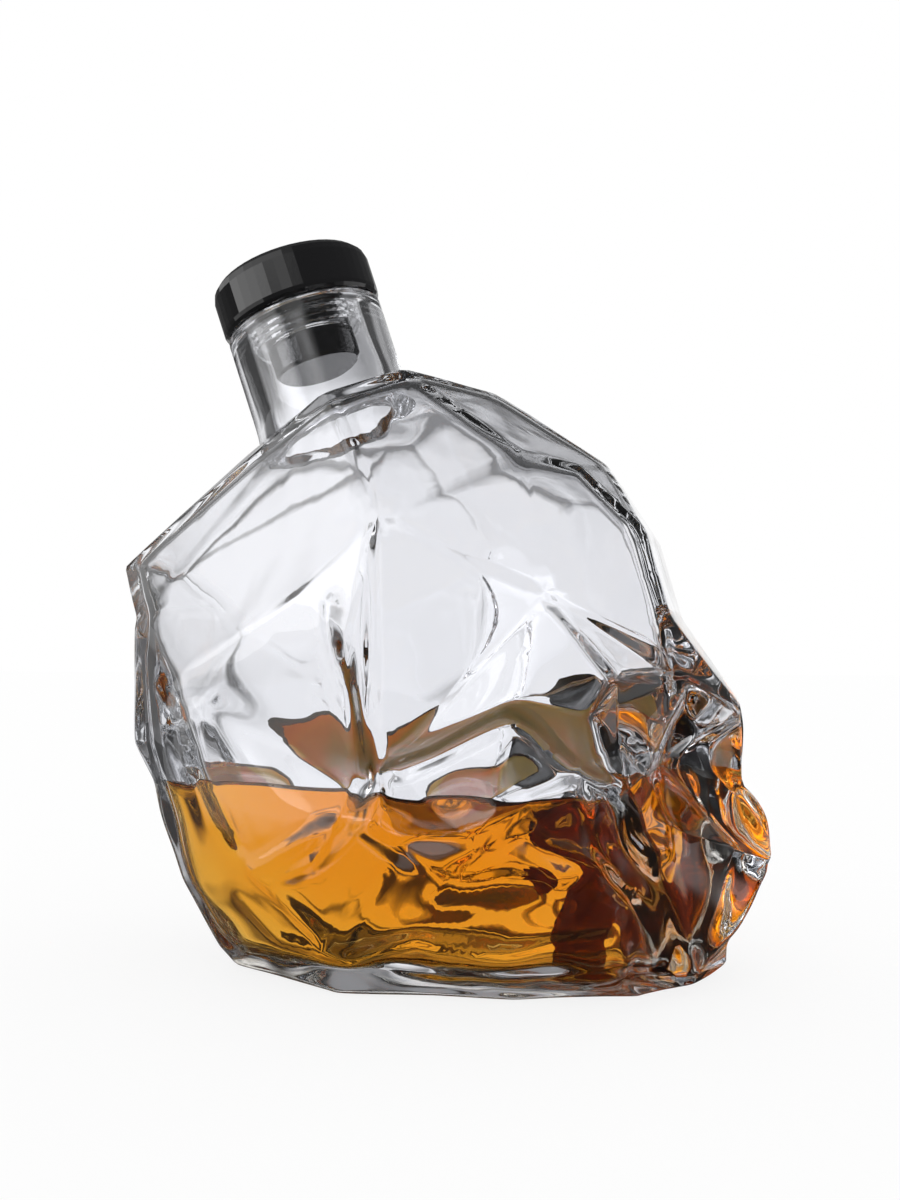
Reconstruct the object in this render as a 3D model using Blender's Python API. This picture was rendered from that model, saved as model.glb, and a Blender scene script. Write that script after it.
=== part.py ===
# Faceted glass skull bottle with a lift-out stopper, part filled with whisky.
# All sizes are in metres. +X is the way the skull faces, +Z is up, and the flat base stands on z = 0.

import math

import bmesh
import bpy
import numpy as np
from mathutils import Vector

# Driving sizes of the blown body
BODY_LENGTH = 0.1745  # back of the head to the nose
BODY_HALF_WIDTH = 0.064  # middle to the widest corner
BODY_HEIGHT = 0.155  # base to the crown
WALL = 0.0046  # glass thickness of the side walls
BASE_THICKNESS = 0.0085  # glass under the whisky
EDGE_ROUNDING = 0.0013  # soft edge that the mould leaves between two facets
EDGE_STEPS = 2
PLAIN_ANGLE = math.radians(10)  # facets that meet more flatly than this have no soft edge
INSIDE_CREASE = 0.45  # how crisp the edges stay on the inside, from 0 to 1
INSIDE_LEVELS = 2

# Neck, leaning back in the plane of symmetry
NECK_LEAN = math.radians(18.5)
NECK_RADIUS = 0.0217
BORE_RADIUS = 0.0162
NECK_FOOT_SHARES = (0.3345, 0.9017)  # of the body's length and height, where the neck's foot is inside it
NECK_LENGTH = 0.036  # from there up to the rim
NECK_FLARE = 0.0030  # how far the neck spreads at its root
NECK_FLARE_HEIGHT = 0.0110
RIM_ROUNDING = 0.0013

# Stopper
CAP_RADIUS = 0.0222
CAP_HEIGHT = 0.0142
CAP_ROUNDING = 0.0034
CAP_FOOT_ROUNDING = 0.0019
PLUG_RADIUS = 0.0123
PLUG_LENGTH = 0.0148  # below the cap
PLUG_CHAMFER = 0.0009
PLUG_TAPER = 0.0003  # how much slimmer the plug's foot is
SPIGOT_RADIUS = 0.0080
SPIGOT_HEIGHT = 0.0060
SEAL_DROP = 0.0012  # below the cap
SEAL_HEIGHT = 0.0056
SEAL_GROOVE = 0.0008
SEAL_LIP = 0.0008  # how far a lip stands out
SEAL_LIPS = 3
LIP_SHARES = ((0.0, 0.0), (0.25, 0.0), (0.45, 1.0), (0.65, 1.0), (0.85, 0.0))  # (down its pitch, out)
FIT = 0.0003  # clearance between pieces that touch

# Whisky
FILL_HEIGHT = 0.0500  # of its surface above the base

ROUND_STEPS = 48
ARC_STEPS = 3
OVERRUN = 0.004  # how far a cutter reaches past what it cuts
JOIN_DISTANCE = 0.00001  # between points of a turned piece that meet on its axis
STEADYING_SHARE = 0.05  # keeps a corner between nearly flat facets from sliding along them

# Corners of one half of the skull, as shares of the length from its back, of the half width and of
# the height. The other half mirrors them.
CORNER_SHARES = {
    # Crown, shoulder and back of the head
    "crown": (0.465, 0.34, 1.00),
    "crown_front": (0.58, 0.00, 0.98),
    "shoulder": (0.38, 0.59, 0.945),
    "neck_heel": (0.21, 0.19, 0.885),
    "occiput": (0.00, 0.25, 0.68),
    "back_top": (0.06, 0.47, 0.585),
    "back_mid": (0.055, 0.47, 0.38),
    "back_under": (0.095, 0.50, 0.315),
    "back_low": (0.13, 0.47, 0.15),
    "back_foot": (0.18, 0.40, 0.035),
    # Side of the head behind the ear
    "parietal": (0.50, 0.97, 0.73),
    "parietal_low": (0.375, 0.91, 0.62),
    "nape_top": (0.165, 0.72, 0.48),
    "nape_mid": (0.175, 0.75, 0.395),
    "nape_low": (0.21, 0.77, 0.325),
    "nape_foot": (0.275, 0.75, 0.175),
    "ear_top": (0.46, 1.00, 0.55),
    "ear_mid": (0.465, 0.92, 0.37),
    "ear_pit": (0.48, 0.84, 0.325),
    "ear_low": (0.43, 0.89, 0.27),
    # Temple and forehead
    "temple_top": (0.665, 0.59, 0.835),
    "temple_mid": (0.705, 0.84, 0.62),
    "forehead_peak": (0.75, 0.00, 0.85),
    "forehead_top": (0.73, 0.38, 0.825),
    "forehead_mid": (0.82, 0.41, 0.725),
    "forehead_low": (0.855, 0.45, 0.59),
    "brow_tail": (0.855, 0.50, 0.53),
    "brow": (0.885, 0.52, 0.485),
    "temple_low": (0.80, 0.81, 0.495),
    # Arch from the ear to the cheekbone
    "arch_back": (0.505, 0.91, 0.39),
    "arch_mid": (0.675, 0.92, 0.465),
    "arch_front": (0.78, 0.84, 0.435),
    "arch_rim_back": (0.53, 0.97, 0.355),
    "arch_rim_mid": (0.68, 0.98, 0.435),
    "arch_rim_front": (0.755, 0.94, 0.37),
    # Eye socket, cheekbone and nose
    "cheek_top": (0.80, 0.86, 0.40),
    "cheek_mid": (0.825, 0.83, 0.305),
    "cheek_low": (0.84, 0.75, 0.24),
    "socket_side": (0.825, 0.72, 0.355),
    "socket_low": (0.86, 0.62, 0.28),
    "socket_deep": (0.83, 0.34, 0.36),
    "nose_side": (0.945, 0.14, 0.23),
    "brow_middle": (0.955, 0.00, 0.43),
    "nose_bridge": (0.96, 0.00, 0.315),
    "nose_tip": (1.00, 0.00, 0.185),
    "teeth": (0.935, 0.00, 0.055),
    "teeth_foot": (0.93, 0.00, 0.018),
    "jaw_corner": (0.89, 0.38, 0.035),
    # Side of the jaw and foot
    "jaw_back": (0.505, 0.83, 0.24),
    "jaw_low": (0.545, 0.78, 0.185),
    "jaw_mid": (0.615, 0.86, 0.24),
    "jaw_front": (0.74, 0.73, 0.17),
    "foot_back": (0.395, 0.75, 0.07),
    "foot_mid": (0.56, 0.69, 0.045),
    "foot_front": (0.775, 0.62, 0.05),
    "base_back": (0.20, 0.34, 0.00),
    "base_side": (0.405, 0.67, 0.00),
    "base_mid": (0.655, 0.58, 0.00),
    "base_front": (0.815, 0.42, 0.00),
    "base_tip": (0.88, 0.20, 0.00),
}

# Facets of that half, each by its corners
SIDE_FACETS = [
    ("crown", "crown_front", "temple_top"),
    ("crown_front", "forehead_peak", "forehead_top", "temple_top"),
    ("forehead_peak", "forehead_mid", "forehead_top"),
    ("crown", "temple_top", "parietal"),
    ("crown", "parietal", "shoulder"),
    ("crown", "shoulder", "neck_heel"),
    ("neck_heel", "shoulder", "occiput"),
    ("shoulder", "back_top", "occiput"),
    ("shoulder", "parietal", "parietal_low", "nape_top", "back_top"),
    ("parietal", "ear_top", "parietal_low"),
    ("parietal_low", "ear_top", "ear_mid", "nape_mid", "nape_top"),
    ("nape_mid", "ear_mid", "ear_low", "nape_low"),
    ("nape_low", "ear_low", "nape_foot"),
    ("ear_mid", "ear_pit", "ear_low"),
    ("back_top", "nape_top", "nape_mid", "back_mid"),
    ("back_mid", "nape_mid", "nape_low", "back_under"),
    ("back_under", "nape_low", "nape_foot", "back_low"),
    ("back_low", "nape_foot", "foot_back", "back_foot"),
    ("back_foot", "foot_back", "base_side", "base_back"),
    ("parietal", "temple_top", "temple_mid"),
    ("temple_top", "forehead_top", "forehead_mid", "temple_mid"),
    ("forehead_mid", "forehead_low", "temple_mid"),
    ("forehead_low", "brow_tail", "temple_mid"),
    ("brow_tail", "temple_low", "temple_mid"),
    ("temple_low", "arch_front", "arch_mid", "temple_mid"),
    ("arch_mid", "arch_back", "temple_mid"),
    ("arch_back", "parietal", "temple_mid"),
    ("parietal", "arch_back", "ear_top"),
    ("ear_top", "arch_back", "ear_pit", "ear_mid"),
    ("arch_back", "arch_mid", "arch_rim_mid", "arch_rim_back"),
    ("arch_mid", "arch_front", "arch_rim_front", "arch_rim_mid"),
    ("arch_back", "arch_rim_back", "ear_pit"),
    ("arch_front", "cheek_top", "arch_rim_front"),
    ("temple_low", "cheek_top", "arch_front"),
    ("forehead_low", "brow_middle", "brow", "brow_tail"),
    ("brow_tail", "brow", "temple_low"),
    ("temple_low", "brow", "socket_side", "cheek_top"),
    ("cheek_top", "socket_side", "socket_low", "cheek_mid"),
    ("arch_rim_front", "cheek_top", "cheek_mid"),
    ("arch_rim_front", "cheek_mid", "cheek_low"),
    ("cheek_mid", "socket_low", "cheek_low"),
    ("brow", "brow_middle", "socket_deep"),
    ("brow_middle", "nose_bridge", "socket_deep"),
    ("nose_bridge", "nose_side", "socket_deep"),
    ("nose_side", "socket_low", "socket_deep"),
    ("socket_low", "socket_side", "socket_deep"),
    ("socket_side", "brow", "socket_deep"),
    ("nose_bridge", "nose_tip", "nose_side"),
    ("nose_side", "nose_tip", "socket_low"),
    ("socket_low", "nose_tip", "jaw_corner"),
    ("socket_low", "jaw_corner", "cheek_low"),
    ("nose_tip", "teeth", "jaw_corner"),
    ("jaw_corner", "teeth", "teeth_foot"),
    ("jaw_corner", "teeth_foot", "base_tip"),
    ("arch_rim_back", "arch_rim_mid", "jaw_mid"),
    ("arch_rim_mid", "arch_rim_front", "jaw_mid"),
    ("arch_rim_back", "jaw_mid", "jaw_back", "ear_pit"),
    ("ear_low", "ear_pit", "jaw_back"),
    ("ear_low", "jaw_back", "jaw_low", "foot_back"),
    ("nape_foot", "ear_low", "foot_back"),
    ("jaw_back", "jaw_mid", "jaw_low"),
    ("jaw_mid", "arch_rim_front", "cheek_low", "jaw_front"),
    ("jaw_low", "jaw_mid", "jaw_front", "foot_mid"),
    ("foot_back", "jaw_low", "foot_mid"),
    ("jaw_front", "cheek_low", "jaw_corner", "foot_front"),
    ("foot_mid", "jaw_front", "foot_front"),
    ("foot_back", "foot_mid", "base_mid", "base_side"),
    ("foot_mid", "foot_front", "base_front", "base_mid"),
    ("foot_front", "jaw_corner", "base_tip", "base_front"),
]

# Facets that cross the middle: the corners of one half in order, and the mirrored ones follow them back
MIDDLE_FACETS = [
    ("crown_front", "crown"),
    ("crown", "neck_heel"),
    ("neck_heel", "occiput"),
    ("occiput", "back_top"),
    ("back_top", "back_mid"),
    ("back_mid", "back_under"),
    ("back_under", "back_low"),
    ("back_low", "back_foot"),
    ("back_foot", "base_back"),
    ("base_back", "base_side", "base_mid", "base_front", "base_tip"),
    ("base_tip", "teeth_foot"),
    ("forehead_mid", "forehead_peak"),
    ("forehead_low", "forehead_mid"),
    ("brow_middle", "forehead_low"),
]

# The inside of the glass is plainer than the outside: each of these corners falls in with another
INSIDE_FALLS_IN = {
    "brow_tail": "brow",
    "arch_back": "ear_pit",
    "arch_rim_back": "ear_pit",
    "ear_mid": "ear_pit",
    "arch_rim_mid": "arch_mid",
    "arch_rim_front": "arch_front",
    "cheek_top": "arch_front",
    "socket_side": "arch_front",
    "cheek_mid": "cheek_low",
    "socket_low": "cheek_low",
    "back_foot": "base_back",
    "foot_back": "base_side",
    "foot_mid": "base_mid",
    "foot_front": "base_front",
    "jaw_corner": "base_tip",
    "teeth": "nose_tip",
    "teeth_foot": "nose_tip",
    "jaw_back": "ear_low",
    "jaw_low": "ear_low",
    "nape_mid": "nape_top",
    "back_mid": "back_under",
}


def clear_scene():
    for thing in list(bpy.data.objects):
        bpy.data.objects.remove(thing, do_unlink=True)


def new_object(name, bm, parent=None):
    mesh = bpy.data.meshes.new(name)
    bm.to_mesh(mesh)
    bm.free()
    thing = bpy.data.objects.new(name, mesh)
    bpy.context.scene.collection.objects.link(thing)
    thing.parent = parent
    return thing


def finish(thing, colour, roughness, transmission=0.0, ior=1.5):
    material = bpy.data.materials.new(thing.name)
    material.use_nodes = True
    shader = material.node_tree.nodes["Principled BSDF"]
    shader.inputs["Base Color"].default_value = (*colour, 1.0)
    shader.inputs["Roughness"].default_value = roughness
    shader.inputs["Metallic"].default_value = 0.0
    shader.inputs["Transmission Weight"].default_value = transmission
    shader.inputs["IOR"].default_value = ior
    thing.data.materials.append(material)


def cutter(thing):
    thing.hide_render = True
    thing.display_type = "WIRE"
    return thing


def boolean(thing, operation, other):
    step = thing.modifiers.new(f"{operation.lower()} {other.name}", "BOOLEAN")
    step.operation = operation
    step.solver = "EXACT"
    step.object = other


# Skull

def corner_place(name, side):
    along, out, up = CORNER_SHARES[name]
    return Vector(((along - 0.5) * BODY_LENGTH, side * out * BODY_HALF_WIDTH, up * BODY_HEIGHT))


def skull_facets(falls_in):
    """Facets as loops of (corner, side), where side is 1, -1 or 0 in the middle."""

    def key(name, side):
        kept = falls_in.get(name, name)
        return kept, side if CORNER_SHARES[kept][1] else 0

    loops = []
    for names in SIDE_FACETS:
        loops.append([key(name, 1) for name in names])
        loops.append([key(name, -1) for name in reversed(names)])
    for names in MIDDLE_FACETS:
        near = [key(name, 1) for name in names]
        back = [key(name, -1) for name in reversed(names)]
        loops.append(near + back)
    facets = []
    for loop in loops:
        kept = []
        for corner in loop:
            if corner not in kept:
                kept.append(corner)
        if len(kept) > 2:
            facets.append(kept)
    return facets


def skull_cage(falls_in):
    bm = bmesh.new()
    corners = {}
    for facet in skull_facets(falls_in):
        for corner in facet:
            if corner not in corners:
                corners[corner] = bm.verts.new(corner_place(*corner))
        bm.faces.new([corners[corner] for corner in facet])
    bm.normal_update()
    return bm


def stands_on_ground(face):
    return all(corner.co.z == 0 for corner in face.verts)


def draw_in(bm, wall, base):
    """Moves each corner inwards, so that every facet around it lies its glass thickness further in."""
    moves = {}
    steadying = np.eye(3) * STEADYING_SHARE
    for corner in bm.verts:
        faces = corner.link_faces
        facing = np.array([face.normal[:] for face in faces])
        depth = np.array([base if stands_on_ground(face) else wall for face in faces])
        moves[corner] = np.linalg.solve(facing.T @ facing + steadying, facing.T @ -depth)
    for corner, move in moves.items():
        corner.co += Vector(move)
    bm.normal_update()


def inside_of_glass(name):
    """The space inside the skull, with softer edges than the outside."""
    bm = skull_cage(INSIDE_FALLS_IN)
    draw_in(bm, WALL, BASE_THICKNESS)
    crease = bm.edges.layers.float.new("crease_edge")
    for edge in bm.edges:
        edge[crease] = INSIDE_CREASE
    thing = new_object(name, bm)
    soften = thing.modifiers.new("soft edges", "SUBSURF")
    soften.levels = INSIDE_LEVELS
    soften.render_levels = INSIDE_LEVELS
    split = thing.modifiers.new("triangles", "TRIANGULATE")
    split.quad_method = "FIXED"
    return thing


def outside_of_glass(name):
    thing = new_object(name, skull_cage({}))
    edges = thing.modifiers.new("soft edges", "BEVEL")
    edges.width = EDGE_ROUNDING
    edges.segments = EDGE_STEPS
    edges.limit_method = "ANGLE"
    edges.angle_limit = PLAIN_ANGLE
    edges.use_clamp_overlap = True
    return thing


# Turned pieces, whose profiles run down the outer side from the top

def arc(middle_radius, middle_height, radius, start, end):
    points = []
    for step in range(ARC_STEPS + 1):
        angle = start + (end - start) * step / ARC_STEPS
        points.append((middle_radius + radius * math.cos(angle), middle_height + radius * math.sin(angle)))
    return points


def turned(name, profile, parent, closed=False):
    bm = bmesh.new()
    points = [bm.verts.new((radius, 0.0, height)) for radius, height in profile]
    for upper, lower in zip(points, points[1:]):
        bm.edges.new((upper, lower))
    if closed:
        bm.edges.new((points[-1], points[0]))
    thing = new_object(name, bm, parent)
    turn = thing.modifiers.new("turn", "SCREW")
    turn.axis = "Z"
    turn.steps = ROUND_STEPS
    turn.render_steps = ROUND_STEPS
    turn.use_merge_vertices = True
    turn.merge_threshold = JOIN_DISTANCE
    turn.use_smooth_shade = True
    return thing


def neck_outside(axis):
    quarter = math.pi / 2
    profile = [(0.0, 0.0)]
    profile += arc(NECK_RADIUS - RIM_ROUNDING, -RIM_ROUNDING, RIM_ROUNDING, quarter, 0.0)
    flare_top = NECK_FLARE_HEIGHT - NECK_LENGTH
    for step in range(ARC_STEPS + 1):
        share = step / ARC_STEPS
        spread = NECK_FLARE * (1 - math.cos(share * quarter))
        profile.append((NECK_RADIUS + spread, flare_top - NECK_FLARE_HEIGHT * math.sin(share * quarter)))
    profile.append((0.0, -NECK_LENGTH))
    return turned("neck_outside", profile, axis)


def neck_bore(axis):
    quarter = math.pi / 2
    profile = [(0.0, OVERRUN), (BORE_RADIUS + RIM_ROUNDING, OVERRUN)]
    profile += arc(BORE_RADIUS + RIM_ROUNDING, -RIM_ROUNDING, RIM_ROUNDING, quarter, 2 * quarter)
    profile += [(BORE_RADIUS, -NECK_LENGTH), (0.0, -NECK_LENGTH)]
    return turned("neck_bore", profile, axis)


def glass_body(axis):
    body = outside_of_glass("glass_body")
    boolean(body, "UNION", cutter(neck_outside(axis)))
    boolean(body, "DIFFERENCE", cutter(inside_of_glass("glass_inside")))
    boolean(body, "DIFFERENCE", cutter(neck_bore(axis)))
    finish(body, (0.93, 0.95, 0.97), 0.02, transmission=1.0, ior=1.5)
    return body


def whisky():
    liquid = inside_of_glass("whisky")
    clear = liquid.modifiers.new("clear of the glass", "DISPLACE")
    clear.direction = "NORMAL"
    clear.mid_level = 0.0
    clear.strength = -FIT
    bm = bmesh.new()
    bmesh.ops.create_cube(bm, size=1.0)
    for corner in bm.verts:
        corner.co.x *= 2 * BODY_LENGTH
        corner.co.y *= 4 * BODY_HALF_WIDTH
        corner.co.z = FILL_HEIGHT + (corner.co.z + 0.5) * BODY_HEIGHT
    boolean(liquid, "DIFFERENCE", cutter(new_object("air_above_whisky", bm)))
    finish(liquid, (0.72, 0.30, 0.04), 0.03, transmission=0.8, ior=1.36)
    return liquid


def stopper_cap(axis):
    quarter = math.pi / 2
    top = FIT + CAP_HEIGHT
    socket_top = FIT + SPIGOT_HEIGHT
    profile = [(0.0, top)]
    profile += arc(CAP_RADIUS - CAP_ROUNDING, top - CAP_ROUNDING, CAP_ROUNDING, quarter, 0.0)
    profile += arc(
        CAP_RADIUS - CAP_FOOT_ROUNDING, FIT + CAP_FOOT_ROUNDING, CAP_FOOT_ROUNDING, 0.0, -quarter
    )
    profile += [(SPIGOT_RADIUS + FIT, FIT), (SPIGOT_RADIUS + FIT, socket_top), (0.0, socket_top)]
    cap = turned("stopper_cap", profile, axis)
    finish(cap, (0.012, 0.012, 0.013), 0.08)
    return cap


def plug_radius(depth):
    return PLUG_RADIUS - PLUG_TAPER * depth / PLUG_LENGTH


def stopper_plug(axis):
    groove_top = -SEAL_DROP + FIT
    groove_foot = -SEAL_DROP - SEAL_HEIGHT - FIT
    foot = plug_radius(PLUG_LENGTH)
    profile = [
        (0.0, SPIGOT_HEIGHT),
        (SPIGOT_RADIUS, SPIGOT_HEIGHT),
        (SPIGOT_RADIUS, 0.0),
        (PLUG_RADIUS, 0.0),
        (plug_radius(-groove_top), groove_top),
        (PLUG_RADIUS - SEAL_GROOVE, groove_top),
        (PLUG_RADIUS - SEAL_GROOVE, groove_foot),
        (plug_radius(-groove_foot), groove_foot),
        (foot, PLUG_CHAMFER - PLUG_LENGTH),
        (foot - PLUG_CHAMFER, -PLUG_LENGTH),
        (0.0, -PLUG_LENGTH),
    ]
    plug = turned("stopper_plug", profile, axis)
    finish(plug, (0.014, 0.014, 0.015), 0.10)
    return plug


def stopper_seal(axis):
    outer = BORE_RADIUS - FIT
    inner = PLUG_RADIUS - SEAL_GROOVE + FIT
    pitch = SEAL_HEIGHT / SEAL_LIPS
    profile = []
    for lip in range(SEAL_LIPS):
        top = -SEAL_DROP - lip * pitch
        profile += [(outer - SEAL_LIP * (1 - out), top - down * pitch) for down, out in LIP_SHARES]
    foot = -SEAL_DROP - SEAL_HEIGHT
    profile += [(outer - SEAL_LIP, foot), (inner, foot), (inner, -SEAL_DROP)]
    seal = turned("stopper_seal", profile, axis, closed=True)
    finish(seal, (0.86, 0.87, 0.86), 0.30, transmission=0.7, ior=1.41)
    return seal


def leaning_axis():
    """An empty at the middle of the neck's rim, whose Z axis is the line that the stopper slides along."""
    axis = bpy.data.objects.new("neck_axis", None)
    bpy.context.scene.collection.objects.link(axis)
    along, up = NECK_FOOT_SHARES
    foot = Vector(((along - 0.5) * BODY_LENGTH, 0.0, up * BODY_HEIGHT))
    lean = Vector((-math.sin(NECK_LEAN), 0.0, math.cos(NECK_LEAN)))
    axis.location = foot + lean * NECK_LENGTH
    axis.rotation_euler = (0.0, -NECK_LEAN, 0.0)
    return axis


def main():
    clear_scene()
    axis = leaning_axis()
    glass_body(axis)
    whisky()
    stopper_cap(axis)
    stopper_plug(axis)
    stopper_seal(axis)


main()
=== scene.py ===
# Faceted glass skull bottle with whisky and a black stopper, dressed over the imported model.
# All sizes are in metres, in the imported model's own frame.

import math

import bmesh
import bpy
import numpy as np
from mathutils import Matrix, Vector, noise
from mathutils.bvhtree import BVHTree


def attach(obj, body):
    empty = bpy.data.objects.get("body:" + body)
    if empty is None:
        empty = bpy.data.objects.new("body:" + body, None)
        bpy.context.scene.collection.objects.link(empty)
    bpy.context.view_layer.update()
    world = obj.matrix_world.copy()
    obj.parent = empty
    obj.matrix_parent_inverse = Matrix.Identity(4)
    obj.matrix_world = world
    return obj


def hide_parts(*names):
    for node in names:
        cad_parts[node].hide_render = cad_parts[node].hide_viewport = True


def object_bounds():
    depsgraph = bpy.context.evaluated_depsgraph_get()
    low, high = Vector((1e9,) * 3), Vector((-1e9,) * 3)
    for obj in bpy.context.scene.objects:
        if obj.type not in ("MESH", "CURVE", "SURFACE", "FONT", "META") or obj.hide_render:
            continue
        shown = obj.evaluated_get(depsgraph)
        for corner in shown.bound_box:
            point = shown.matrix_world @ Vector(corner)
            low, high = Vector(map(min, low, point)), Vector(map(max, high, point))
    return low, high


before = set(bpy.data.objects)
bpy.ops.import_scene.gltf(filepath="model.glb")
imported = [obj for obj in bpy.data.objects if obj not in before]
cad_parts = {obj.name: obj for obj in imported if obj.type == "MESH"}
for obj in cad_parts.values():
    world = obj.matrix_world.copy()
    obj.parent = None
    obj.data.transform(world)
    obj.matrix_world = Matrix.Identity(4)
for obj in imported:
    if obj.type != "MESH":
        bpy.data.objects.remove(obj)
CAD_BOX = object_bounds()

# Photograph and camera, as fitted to the picture
IMAGE_WIDTH = 900
IMAGE_HEIGHT = 1200
FOCAL_PIXELS = 1258
AXIS_PIXEL_X = 445
AXIS_PIXEL_Y = 650
SENSOR = 36.0  # in millimetres, along the longer side of the frame
CAMERA_AZIMUTH = math.radians(14)
CAMERA_DISTANCE = 0.340
EYE_HEIGHT = 0.083

# Blown body, as in the model's solids, with finer edges
BODY_LENGTH = 0.1745
BODY_HALF_WIDTH = 0.064
BODY_HEIGHT = 0.155
MIDDLE = 0.5  # share of the length at which x is 0
WALL = 0.0046
BASE_THICKNESS = 0.0085
OUTSIDE_LEVELS = 4
CRISP_SMOOTHING = 3  # rounds of smoothing on every edge of the outside
SOFT_SMOOTHING = 9  # more rounds of smoothing, on the edges low on the skull
CRISP_SHARES = (0.50, 0.62)  # of the height, between which edges grow crisp
RELIEF_DEPTH = 0.0014
RELIEF_SIZE = 0.017
RELIEF_SHARES = (0.30, 0.42)  # of the height, between which the relief of the lower half fades out
HIGH_RELIEF_SHARE = 0.12  # of its depth that is left above them
FOOT_RISE = 0.007  # the height over which relief and folds grow from the flat base
INSIDE_LEVELS = 4
INSIDE_SMOOTHING = 9  # rounds of smoothing on all of the inside
LOW_INSIDE_SMOOTHING = 26  # more rounds of smoothing, on the part that the whisky fills
LOW_INSIDE_SHARES = (0.34, 0.44)  # of the height, between which that smoothing fades out
FRONT_RELIEF = 1.2  # share by which the relief grows deeper towards the face
FRONT_SHARES = (0.46, 0.72)  # of the length, over which it does
THINNEST_GLASS = 0.0026
LOW_SIDE_DRAW = 0.10  # share by which the inside is narrower low down, where the glass is thick
LOW_BACK_DRAW = 0.03  # and by which it is shorter
LOW_GLASS_SHARES = (0.33, 0.50)  # of the height, between which both fade out
SOLID_FRONT_START = 0.79  # share of the length, past which the inside is drawn back from nose and teeth
SOLID_FRONT_SHARE = 0.28  # how much of its reach it keeps there
SOLID_FRONT_SHARES = (0.40, 0.52)  # of the height, over which the front grows hollow again
SMOOTHING_STRENGTH = 0.5  # of each round
STEADYING_SHARE = 0.05  # holds a corner of the inside back where its facets are nearly in one plane
NECK_LEAN = math.radians(18.5)
NECK_RADIUS = 0.0217
BORE_RADIUS = 0.0162
NECK_FOOT_SHARES = (0.3345, 0.9017)
NECK_LENGTH = 0.036
NECK_FLARE = 0.0030
NECK_FLARE_HEIGHT = 0.0110
RIM_ROUNDING = 0.0013
RIM_LIFT = 0.0001  # how far the bore's rounding reaches past the rim, so that the two don't only touch
OVERRUN = 0.004  # how far the cutter of the bore stands above the rim
QUARTER = math.pi / 2  # of a turn
ROUND_STEPS = 128
ARC_STEPS = 6
JOIN_DISTANCE = 0.00001
SHARP_ANGLE = math.radians(40)
FACET_WEIGHT = 100  # the most there is: the large facets set the shading along their edges

FILL_HEIGHT = 0.0500
MENISCUS_RISE = 0.0010
MENISCUS_WIDTH = 0.0018
LIQUID_OVERLAP = 0.0002  # how far the whisky reaches into the glass, so that no air shows between them
AIR_SPREAD = 2  # size of the cutter over the whisky, in lengths and widths of the body
SURFACE_MATERIAL = 1  # the second of the whisky's two

# Corners of one half of the skull, as shares of the length from its back, of the half width and of
# the height. The other half mirrors them.
CORNER_SHARES = {
    # Crown, shoulder and back of the head
    "crown": (0.465, 0.34, 1.00),
    "crown_front": (0.58, 0.00, 0.98),
    "shoulder": (0.38, 0.59, 0.945),
    "neck_heel": (0.21, 0.19, 0.885),
    "occiput": (0.00, 0.25, 0.68),
    "back_top": (0.06, 0.47, 0.585),
    "back_mid": (0.055, 0.47, 0.38),
    "back_under": (0.095, 0.50, 0.315),
    "back_low": (0.13, 0.47, 0.15),
    "back_foot": (0.18, 0.40, 0.035),
    # Side of the head behind the ear
    "parietal": (0.50, 0.97, 0.73),
    "parietal_low": (0.375, 0.91, 0.62),
    "nape_top": (0.165, 0.72, 0.48),
    "nape_mid": (0.175, 0.75, 0.395),
    "nape_low": (0.21, 0.77, 0.325),
    "nape_foot": (0.275, 0.75, 0.175),
    "ear_top": (0.46, 1.00, 0.55),
    "ear_mid": (0.465, 0.92, 0.37),
    "ear_pit": (0.48, 0.84, 0.325),
    "ear_low": (0.43, 0.89, 0.27),
    # Temple and forehead
    "temple_top": (0.665, 0.59, 0.835),
    "temple_mid": (0.705, 0.84, 0.62),
    "forehead_peak": (0.75, 0.00, 0.85),
    "forehead_top": (0.73, 0.38, 0.825),
    "forehead_mid": (0.82, 0.41, 0.725),
    "forehead_low": (0.855, 0.45, 0.59),
    "brow_tail": (0.855, 0.50, 0.53),
    "brow": (0.885, 0.52, 0.485),
    "temple_low": (0.80, 0.81, 0.495),
    # Arch from the ear to the cheekbone
    "arch_back": (0.505, 0.91, 0.39),
    "arch_mid": (0.675, 0.92, 0.465),
    "arch_front": (0.78, 0.84, 0.435),
    "arch_rim_back": (0.53, 0.97, 0.355),
    "arch_rim_mid": (0.68, 0.98, 0.435),
    "arch_rim_front": (0.755, 0.94, 0.37),
    # Eye socket, cheekbone and nose
    "cheek_top": (0.80, 0.86, 0.40),
    "cheek_mid": (0.825, 0.83, 0.305),
    "cheek_low": (0.84, 0.75, 0.24),
    "socket_side": (0.825, 0.72, 0.355),
    "socket_low": (0.86, 0.62, 0.28),
    "socket_deep": (0.83, 0.34, 0.36),
    "nose_side": (0.945, 0.14, 0.23),
    "brow_middle": (0.955, 0.00, 0.43),
    "nose_bridge": (0.96, 0.00, 0.315),
    "nose_tip": (1.00, 0.00, 0.185),
    "teeth": (0.935, 0.00, 0.055),
    "teeth_foot": (0.93, 0.00, 0.018),
    "jaw_corner": (0.89, 0.38, 0.035),
    # Side of the jaw and foot
    "jaw_back": (0.505, 0.83, 0.24),
    "jaw_low": (0.545, 0.78, 0.185),
    "jaw_mid": (0.615, 0.86, 0.24),
    "jaw_front": (0.74, 0.73, 0.17),
    "foot_back": (0.395, 0.75, 0.07),
    "foot_mid": (0.56, 0.69, 0.045),
    "foot_front": (0.775, 0.62, 0.05),
    "base_back": (0.20, 0.34, 0.00),
    "base_side": (0.405, 0.67, 0.00),
    "base_mid": (0.655, 0.58, 0.00),
    "base_front": (0.815, 0.42, 0.00),
    "base_tip": (0.88, 0.20, 0.00),
}

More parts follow.
